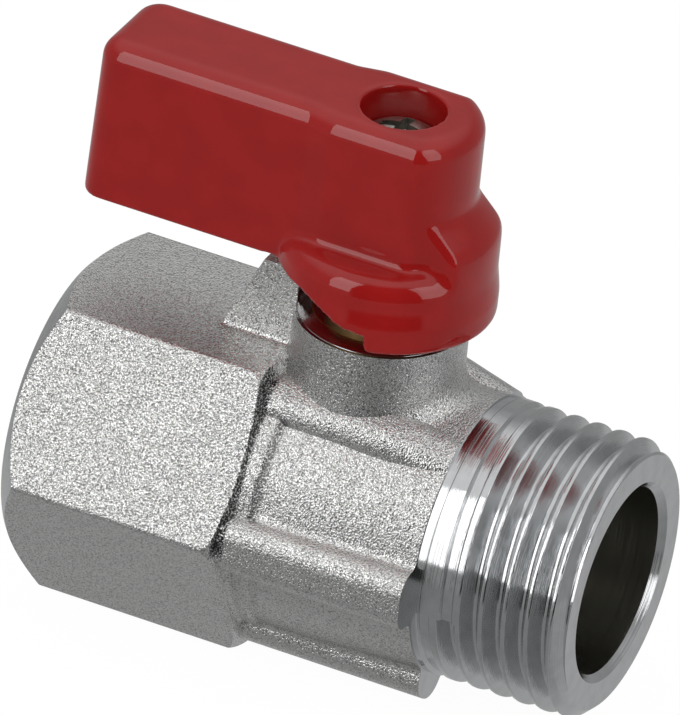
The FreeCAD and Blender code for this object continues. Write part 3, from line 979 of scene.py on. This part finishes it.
@dataclass
class CastLever:
    """Lacquered lever casting, in metres; the heights and fades of its hollow corners are in millimetres."""

    stem_x: float = 23.6 * MM
    voxel: float = 0.17 * MM
    relax: int = 8
    flow: int = 45
    factor: float = 0.5
    hollow_r: Span = (4.5 * MM, 9.0 * MM)
    hollow_foot: float = 18.4
    hollow_rise: float = 20.8
    outlet_side: float = 1.5 * MM
    outlet_top: float = 26.6
    inlet_top: float = 24.2
    hollow_fade: float = 0.8
    waist_top: float = 21.6
    waist_fade: float = 0.6
    waist_share: float = 0.3

    def build(self, node: bpy.types.Object) -> bpy.types.Object:
        """Copies the node and lets its edges flow as a casting's do under lacquer.

        Args:
            node: The CAD lever.

        Returns:
            The finished piece.
        """
        piece = BENCH.copy_node(node, "cast_lever")
        BENCH.apply(piece, "REMESH", mode="VOXEL", voxel_size=self.voxel, use_smooth_shade=True)
        BENCH.apply(piece, "SMOOTH", factor=self.factor, iterations=self.relax)
        hollow = piece.vertex_groups.new(name="hollow_corners")
        for vertex in piece.data.vertices:
            share = self._share(vertex.co)
            if share > 0.0:
                hollow.add([vertex.index], share, "REPLACE")
        BENCH.apply(piece, "SMOOTH", factor=self.factor, iterations=self.flow, vertex_group=hollow.name)
        piece.data.materials.clear()
        piece.data.materials.append(RedLacquer().make())
        return piece

    def _share(self, place: Vector) -> float:
        """Says how far the lacquer and the die fill the surface at a place.

        Args:
            place: Point of the casting.

        Returns:
            1 in the hollow corners between hub and skirt, 0 where the form stays as it is.
        """
        reach = math.hypot(place.x - self.stem_x, place.y)
        height = place.z / MM
        if reach < self.hollow_r[0] or reach > self.hollow_r[1] or height < self.hollow_foot:
            return 0.0
        rise = unit((height - self.hollow_rise) / self.hollow_fade)
        top = self.outlet_top if place.x > self.stem_x + self.outlet_side else self.inlet_top
        fall = unit((top - height) / self.hollow_fade)
        waist = self.waist_share * unit((height - self.hollow_foot) / self.waist_fade)
        return max(rise * fall, waist if height < self.waist_top else 0.0)


# Studio


@dataclass(frozen=True)
class SoftBox:
    """Rectangular soft light that faces the valve.

    Azimuth is in degrees from -Y towards +X and elevation in degrees above the horizon. Distance is from
    the point that it faces, size is width and height, and a radiance of 1 is white.
    """

    name: str
    azimuth: float
    elevation: float
    distance: float
    size: Tuple[float, float]
    radiance: float

    def hang(self, aim: Place) -> None:
        """Adds the light to the scene.

        Args:
            aim: Point that it faces.
        """
        data = bpy.data.lights.new(self.name, "AREA")
        data.shape = "RECTANGLE"
        data.size, data.size_y = self.size
        data.energy = self.radiance * math.pi * self.size[0] * self.size[1]
        light = bpy.data.objects.new(self.name, data)
        turn, rise = math.radians(self.azimuth), math.radians(self.elevation)
        way = Vector((math.sin(turn) * math.cos(rise), -math.cos(turn) * math.cos(rise), math.sin(rise)))
        light.location = Vector(aim) + self.distance * way
        light.rotation_euler = way.to_track_quat("Z", "Y").to_euler()
        light.visible_camera = False
        bpy.context.scene.collection.objects.link(light)


@dataclass
class Studio:
    """Camera, pale floor, room and soft light; room and light are fitted to the photograph's colours."""

    eye: Place = (0.48863, -1.107261, 0.720627)
    angles: Place = (59.299532, -5.17402, 25.974243)
    lens: float = 975.547
    sensor: float = 36.0
    clip: Span = (0.05, 20.0)
    aim: Place = (0.022, 0.0, 0.005)
    floor_z: float = -11.7 * MM
    floor_r: float = 400.0 * MM
    floor_gap: float = 0.02 * MM
    floor_grey: float = 0.8
    floor_glow: float = 1.04
    room: float = 0.32
    sky: float = 0.85
    near_table: float = 0.26
    far_table: float = 0.45
    table_span: Span = (-0.4, 0.6)
    horizon: Span = (-0.32, -0.26)
    sky_span: Span = (0.38, 0.88)
    behind: Span = (0.76, 0.84)
    behind_top: Span = (0.8, 0.97)
    behind_depth: float = 0.9
    tiny: float = 0.0001
    whiteness: float = 0.93
    boxes: Tuple[SoftBox, ...] = (
        SoftBox("left_box", azimuth=-23.0, elevation=28.0, distance=0.6, size=(0.25, 0.64), radiance=2.0),
        SoftBox("right_box", azimuth=70.0, elevation=28.0, distance=0.6, size=(0.22, 0.64), radiance=1.6),
    )

    def camera(self) -> None:
        """Sets the camera where the photograph was taken from."""
        data = bpy.data.cameras.new("view")
        data.lens = self.lens
        data.sensor_width = self.sensor
        data.clip_start, data.clip_end = self.clip
        camera = bpy.data.objects.new("view", data)
        camera.location = self.eye
        camera.rotation_euler = Euler([math.radians(angle) for angle in self.angles], "XYZ")
        bpy.context.scene.collection.objects.link(camera)
        bpy.context.scene.camera = camera

    def world(self) -> None:
        """Room seen by the plating: bright above, dark behind the camera, a table below; white backdrop."""
        world = bpy.data.worlds.new("room")
        world.use_nodes = True
        bpy.context.scene.world = world
        graph = Graph(world.node_tree)
        way = graph.signal("ShaderNodeTexCoord", {}, {}, "Generated")
        x, y, z = graph.split(way)
        turn = math.radians(self.angles[2])
        # The tiny share keeps the zenith from a division by zero
        camera_side = (x * math.sin(turn) - y * math.cos(turn)) / (x * x + y * y + self.tiny) ** 0.5
        dark = camera_side.ramp(*self.behind) * (1.0 - z.ramp(*self.behind_top))
        above = self.room + (self.sky - self.room) * z.ramp(*self.sky_span)
        above = above * (1.0 - self.behind_depth * dark)
        below = self.near_table + (self.far_table - self.near_table) * y.ramp(*self.table_span)
        level = below + (above - below) * z.ramp(*self.horizon)
        seen = graph.signal("ShaderNodeLightPath", {}, {}, "Is Camera Ray")
        strength = level + (1.0 - level) * seen
        back = graph.node("ShaderNodeBackground", {}, {"Color": (1.0, 1.0, 1.0, 1.0), "Strength": strength})
        out = graph.node("ShaderNodeOutputWorld", {}, {})
        graph.tree.links.new(back.outputs[0], out.inputs[0])

    def floor(self) -> None:
        """Table top, almost white to the camera, with a trace of shadow; the plating mirrors the room's."""
        bpy.ops.object.select_all(action="DESELECT")
        middle = (self.aim[0], self.aim[1], self.floor_z - self.floor_gap)
        bpy.ops.mesh.primitive_circle_add(
            vertices=ROUND_STEPS, radius=self.floor_r, fill_type="NGON", location=middle
        )
        top = bpy.context.object
        top.name = "table_top"
        top.visible_glossy = False
        top.visible_shadow = False
        material = bpy.data.materials.new("table_top")
        material.use_nodes = True
        graph = Graph(material.node_tree)
        camera = graph.signal("ShaderNodeLightPath", {}, {}, "Is Camera Ray")
        grey = (self.floor_grey, self.floor_grey, self.floor_grey, 1.0)
        base = graph.node("ShaderNodeBsdfDiffuse", {}, {"Color": grey})
        glow = {"Color": (1.0, 1.0, 1.0, 1.0), "Strength": self.floor_glow}
        white = graph.node("ShaderNodeEmission", {}, glow)
        shown = graph.node("ShaderNodeMixShader", {}, {0: camera * self.whiteness})
        graph.tree.links.new(base.outputs[0], shown.inputs[1])
        graph.tree.links.new(white.outputs[0], shown.inputs[2])
        out = graph.node("ShaderNodeOutputMaterial", {}, {})
        graph.tree.links.new(shown.outputs[0], out.inputs[0])
        top.data.materials.append(material)

    def build(self) -> None:
        """Builds camera, room, table and lights."""
        bpy.context.scene.view_settings.view_transform = "Standard"
        self.camera()
        self.world()
        self.floor()
        for box in self.boxes:
            box.hang(self.aim)


# The valve


def put(piece: bpy.types.Object, node: str, body: str) -> None:
    """Lets a finished piece stand for its node.

    Args:
        piece: The finished piece.
        node: Name of the CAD node.
        body: Body that it moves with.
    """
    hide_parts(node)
    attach(piece, body)
    LOG.info("%s: %d faces, for %s", piece.name, len(piece.data.polygons), node)


def dress_node(node: bpy.types.Object, material: bpy.types.Material) -> None:
    """Gives a CAD node a finish.

    Args:
        node: The CAD node.
        material: The finish.
    """
    for slot in node.material_slots:
        slot.material = material
    LOG.info("%s: %s", node.name, material.name)


def main() -> None:
    """Builds the valve in order."""
    logging.basicConfig(level=logging.INFO, format="%(message)s")
    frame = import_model()
    nodes = frame["nodes"]
    body = ForgedBody()
    forged = body.build(nodes["valve_body"])
    body.dress(forged)
    put(forged, "valve_body", "body")
    lever = CastLever().build(nodes["handle"])
    put(lever, "handle", "lever")
    steel = PlainMetal("screw_steel", colour=(0.55, 0.54, 0.5), roughness=0.28).make()
    brass = PlainMetal("turned_brass", colour=(0.5, 0.34, 0.14), roughness=0.32).make()
    # Painted shade: the stem is brass painted much darker, so that no bright stem shows under the notch
    stem_painted_shade = PlainMetal("brass_painted_shade", colour=(0.3, 0.19, 0.08), roughness=0.42).make()
    soft = SoftPart("white_seat", colour=(0.85, 0.85, 0.83), roughness=0.45).make()
    rubber = SoftPart("black_rubber", colour=(0.02, 0.02, 0.02), roughness=0.5).make()
    mirror = PlainMetal("polished_ball", colour=(0.8, 0.8, 0.8), roughness=0.03, grain=2.0 * MM).make()
    for name, material in (
        ("handle_screw", steel), ("stem", stem_painted_shade), ("seat_retainer", brass), ("inlet_seat", soft),
        ("outlet_seat", soft), ("thrust_washer", soft), ("lower_stem_seal", rubber),
        ("upper_stem_seal", rubber), ("ball", mirror),
    ):
        dress_node(nodes[name], material)
    Studio().build()


if __name__ == "__main__":
    main()
